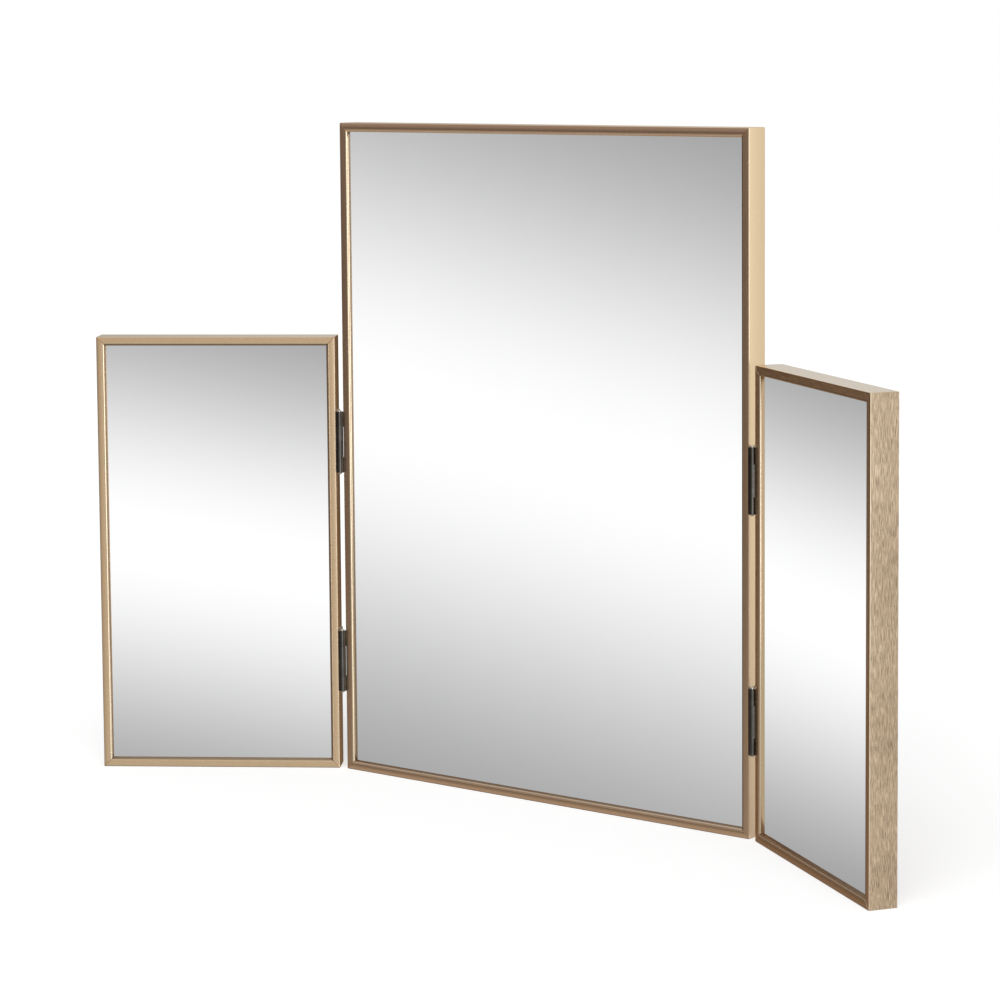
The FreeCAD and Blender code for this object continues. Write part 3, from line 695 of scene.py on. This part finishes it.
# Light of the room that the metal sees, by the heading of what it reflects in degrees: 0 is
# towards the front, 90 to the right, 180 behind.
ROOM_WALLS = (
    (-180, (0.40, 0.33, 0.26)),
    (-152, (0.045, 0.022, 0.010)),
    (-104, (0.11, 0.078, 0.055)),
    (-76, (0.10, 0.070, 0.050)),
    (-41, (0.135, 0.105, 0.090)),
    (-33, (0.115, 0.090, 0.078)),
    (-5, (0.22, 0.19, 0.16)),
    (20, (0.62, 0.56, 0.45)),
    (35, (0.66, 0.62, 0.53)),
    (43, (0.76, 0.74, 0.67)),
    (53, (3.10, 3.10, 3.00)),
    (58, (3.10, 3.10, 3.00)),
    (68, (0.54, 0.51, 0.44)),
    (85, (0.51, 0.475, 0.405)),
    (97, (1.90, 1.90, 1.82)),
    (114, (1.70, 1.70, 1.60)),
    (144, (0.90, 0.91, 0.80)),
    (180, (0.40, 0.33, 0.26)),
)
# The same for the floor, which fades into the walls.
ROOM_FLOOR = (
    (-180, (0.30, 0.25, 0.20)),
    (-104, (0.28, 0.215, 0.165)),
    (-36, (0.47, 0.39, 0.32)),
    (25, (0.60, 0.585, 0.50)),
    (80, (0.50, 0.45, 0.38)),
    (144, (0.34, 0.305, 0.32)),
    (180, (0.30, 0.25, 0.20)),
)
FLOOR_FROM_TO = (-7.5, -20.0)
ROOM_CEILING = (0.72, 0.72, 0.70)
CEILING_FROM_TO = (20.0, 60.0)
UNDERSIDE = (0.13, 0.10, 0.08)
UNDERSIDE_FROM_TO = (-50.0, -80.0)

# Low pale lights at the height of the horizon: one behind on the left, which lies along the
# tops of the frames, and a dim one in front of the centre frame's top lip.
LOW_LIGHTS = (
    {"light": (0.78, 0.83, 0.845), "middle": -152.0, "full": 4.0, "none": 38.0,
     "low": -1.0, "high": 4.5},
    {"light": (0.38, 0.31, 0.28), "middle": -37.0, "full": 14.0, "none": 34.0,
     "low": -2.0, "high": 4.0},
)

# Long soft lights that the mirrors see: heading and elevation of the brightest place, the
# line's slope in degrees of elevation for each degree of heading, and how fast it fades.
MIRROR_LIGHTS = (
    {"Middle Heading": -36.7, "Middle Elevation": -7.6, "Slope": -0.286, "Reach": 3.8},
    {"Middle Heading": 23.0, "Middle Elevation": -9.45, "Slope": -0.206, "Reach": 2.5},
    {"Middle Heading": -99.6, "Middle Elevation": -10.65, "Slope": -0.36, "Reach": 2.55},
)
# Degrees of heading that a long light reaches to each side, and over which its end fades. Its
# slope runs as far from the middle as the fade is wide and is level beyond that.
LIGHT_SPAN = 26.0
LIGHT_FADE = 12.0
# The round light, which fills in wherever no long light reaches and ends at the sides.
ROUND_LIGHT = {"elevation": -8.0, "reach": 4.5, "from": 105.0, "to": 130.0}
# Tone of the mirrors between the lights, at the middle of a light, and far down.
MIRROR_DIM = 0.25
MIRROR_PEAK = 1.04
MIRROR_FLOOR = {"from": -17.0, "to": -45.0, "tone": 0.45}
# Even light on what isn't shiny, and the glow that brings the floor up to white.
AMBIENT = 0.45
FLOOR_GLOW = 0.54

FLOOR_HALF = 6.0
FLOOR_COLOUR = (0.6, 0.6, 0.6, 1.0)
SUN_STRENGTH = 1.6
SUN_WIDTH = math.radians(50.0)
SUN_TILT = (math.radians(38.0), 0.0, math.radians(30.0))


def heading_and_elevation(s):
    """Direction of a world ray, in degrees."""
    place = s.add("ShaderNodeTexCoord")
    parts = s.add("ShaderNodeSeparateXYZ", {"Vector": place.outputs["Generated"]})
    front = s.maths("MULTIPLY", parts.outputs["Y"], -1.0)
    heading = s.maths("MULTIPLY", s.maths("ARCTAN2", parts.outputs["X"], front),
                      math.degrees(1.0))
    elevation = s.maths("MULTIPLY", s.maths("ARCSINE", parts.outputs["Z"]), math.degrees(1.0))
    return heading, elevation


def light_by_heading(s, heading, lights):
    """Colour that runs through a list of lights as the heading goes round."""
    ramp = s.add("ShaderNodeValToRGB", {"Fac": s.remap(heading, -180.0, 180.0)})
    ramp.color_ramp.interpolation = "EASE"
    stops = ramp.color_ramp.elements
    while len(stops) < len(lights):
        stops.new(0.5)
    for stop, (angle, light) in zip(stops, lights):
        stop.position = (angle + 180.0) / 360.0
        stop.color = (*light, 1.0)
    return ramp.outputs["Color"]


def room_light(s, heading, elevation):
    """What brushed and plated metal reflects."""
    walls = light_by_heading(s, heading, ROOM_WALLS)
    for low in LOW_LIGHTS:
        aside = s.maths("ABSOLUTE", s.maths("SUBTRACT", heading, low["middle"]))
        near = s.remap(aside, low["full"], low["none"], 1.0, 0.0, smooth=True)
        above = s.remap(elevation, low["low"], low["high"], smooth=True)
        walls = s.blend_colours(s.maths("MULTIPLY", near, above), walls, (*low["light"], 1.0))
    light = s.blend_colours(s.remap(elevation, *CEILING_FROM_TO, smooth=True), walls,
                            (*ROOM_CEILING, 1.0))
    light = s.blend_colours(s.remap(elevation, *FLOOR_FROM_TO, smooth=True), light,
                            light_by_heading(s, heading, ROOM_FLOOR))
    return s.blend_colours(s.remap(elevation, *UNDERSIDE_FROM_TO, smooth=True), light,
                           (*UNDERSIDE, 1.0))


def bell(s, value, middle, reach):
    """1 at the middle, falling away smoothly on both sides."""
    off = s.maths("DIVIDE", s.maths("SUBTRACT", value, middle), reach)
    squared = s.maths("MULTIPLY", off, off)
    return s.maths("POWER", math.exp(-0.5), squared)


def long_light_group():
    """One long soft light, as a glow and the share of the room that belongs to it."""
    group, s, entry, leave = new_group(
        "long_soft_light",
        {"Heading": ("Float", 0.0), "Elevation": ("Float", 0.0),
         "Middle Heading": ("Float", 0.0), "Middle Elevation": ("Float", 0.0),
         "Slope": ("Float", 0.0), "Reach": ("Float", 3.0)},
        {"Glow": ("Float", None), "Share": ("Float", None)},
    )
    given = entry.outputs
    aside = s.maths("SUBTRACT", given["Heading"], given["Middle Heading"])
    near = s.maths("MAXIMUM", s.maths("MINIMUM", aside, LIGHT_FADE), -LIGHT_FADE)
    middle = s.maths("ADD", s.maths("MULTIPLY", near, given["Slope"]),
                     given["Middle Elevation"])
    share = s.remap(s.maths("ABSOLUTE", aside), LIGHT_SPAN - LIGHT_FADE, LIGHT_SPAN,
                    1.0, 0.0, smooth=True)
    glow = bell(s, given["Elevation"], middle, given["Reach"])
    s.feed(leave.inputs["Glow"], s.maths("MULTIPLY", glow, share))
    s.feed(leave.inputs["Share"], share)
    return group


def mirror_light(s, heading, elevation):
    """What the silver reflects: long soft lights at about the height of the mirrors."""
    group = long_light_group()
    glow, left_over = 0.0, 1.0
    for light in MIRROR_LIGHTS:
        one = use_group(s, group, {"Heading": heading, "Elevation": elevation, **light})
        glow = s.maths("ADD", glow, one.outputs["Glow"])
        left_over = s.maths("SUBTRACT", left_over, one.outputs["Share"])
    around = bell(s, elevation, ROUND_LIGHT["elevation"], ROUND_LIGHT["reach"])
    in_front = s.remap(s.maths("ABSOLUTE", heading), ROUND_LIGHT["from"], ROUND_LIGHT["to"],
                       1.0, 0.0, smooth=True)
    around = s.maths("MULTIPLY", around, s.maths("MULTIPLY", in_front, left_over))
    glow = s.maths("ADD", glow, around)
    floor = s.remap(elevation, MIRROR_FLOOR["from"], MIRROR_FLOOR["to"],
                    0.0, MIRROR_FLOOR["tone"], smooth=True)
    tone = s.maths("MULTIPLY", s.maths("ADD", glow, floor), MIRROR_PEAK - MIRROR_DIM)
    return s.maths("ADD", tone, MIRROR_DIM)


def build_world():
    """White backdrop, with the room's darker and lighter sides for what metal reflects."""
    world = bpy.data.worlds.new("studio")
    bpy.context.scene.world = world
    world.use_nodes = True
    s = Shader(world.node_tree)
    background = world.node_tree.nodes["Background"]
    heading, elevation = heading_and_elevation(s)
    path = s.add("ShaderNodeLightPath")
    light = s.blend_colours(path.outputs["Is Glossy Ray"], (AMBIENT, AMBIENT, AMBIENT, 1.0),
                            room_light(s, heading, elevation))
    light = s.blend_colours(path.outputs["Is Transmission Ray"], light,
                            mirror_light(s, heading, elevation))
    light = s.blend_colours(path.outputs["Is Camera Ray"], light, (*WHITE, 1.0))
    s.feed(background.inputs["Color"], light)
    background.inputs["Strength"].default_value = 1.0


def build_sun():
    """Broad soft light from above the front, for the shadow and the plain surfaces."""
    light = bpy.data.lights.new("softbox", "SUN")
    light.energy = SUN_STRENGTH
    light.angle = SUN_WIDTH
    lamp = bpy.data.objects.new("softbox", light)
    bpy.context.scene.collection.objects.link(lamp)
    lamp.rotation_euler = SUN_TILT
    lamp.visible_glossy = False
    lamp.visible_transmission = False


def build_floor():
    """Pale floor that is white to the eye and takes the mirror's soft shadow."""
    corners = [(-FLOOR_HALF, -FLOOR_HALF, 0), (FLOOR_HALF, -FLOOR_HALF, 0),
               (FLOOR_HALF, FLOOR_HALF, 0), (-FLOOR_HALF, FLOOR_HALF, 0)]
    mesh = bpy.data.meshes.new("studio_floor")
    mesh.from_pydata(corners, [], [(0, 1, 2, 3)])
    material, s, surface = new_material("pale_floor")
    surface.inputs["Base Color"].default_value = FLOOR_COLOUR
    surface.inputs["Roughness"].default_value = 1.0
    surface.inputs["Specular IOR Level"].default_value = 0.0
    surface.inputs["Emission Color"].default_value = (*WHITE, 1.0)
    path = s.add("ShaderNodeLightPath")
    s.feed(surface.inputs["Emission Strength"], s.maths(
        "MULTIPLY", path.outputs["Is Camera Ray"], FLOOR_GLOW))
    mesh.materials.append(material)
    floor = bpy.data.objects.new("studio_floor", mesh)
    bpy.context.scene.collection.objects.link(floor)
    floor.visible_glossy = False


def build_camera():
    """Camera at its place, turned to its heading, then tilted, then rolled."""
    data = bpy.data.cameras.new("camera")
    data.sensor_width = CAMERA_SENSOR_MM
    data.lens = CAMERA_LENS_MM
    data.shift_x, data.shift_y = CAMERA_SHIFT
    camera = bpy.data.objects.new("camera", data)
    bpy.context.scene.collection.objects.link(camera)
    upright = Matrix.Rotation(math.radians(90.0) + CAMERA_PITCH, 4, "X")
    heading = Matrix.Rotation(CAMERA_YAW, 4, "Z")
    roll = Matrix.Rotation(CAMERA_ROLL, 4, "Z")
    camera.matrix_world = Matrix.Translation(CAMERA_PLACE) @ heading @ upright @ roll
    bpy.context.scene.camera = camera


dress_cad_nodes()
build_frames()
build_mirrors()
build_world()
build_sun()
build_floor()
build_camera()
clear_the_reflections()
bpy.context.scene.view_settings.view_transform = "Standard"
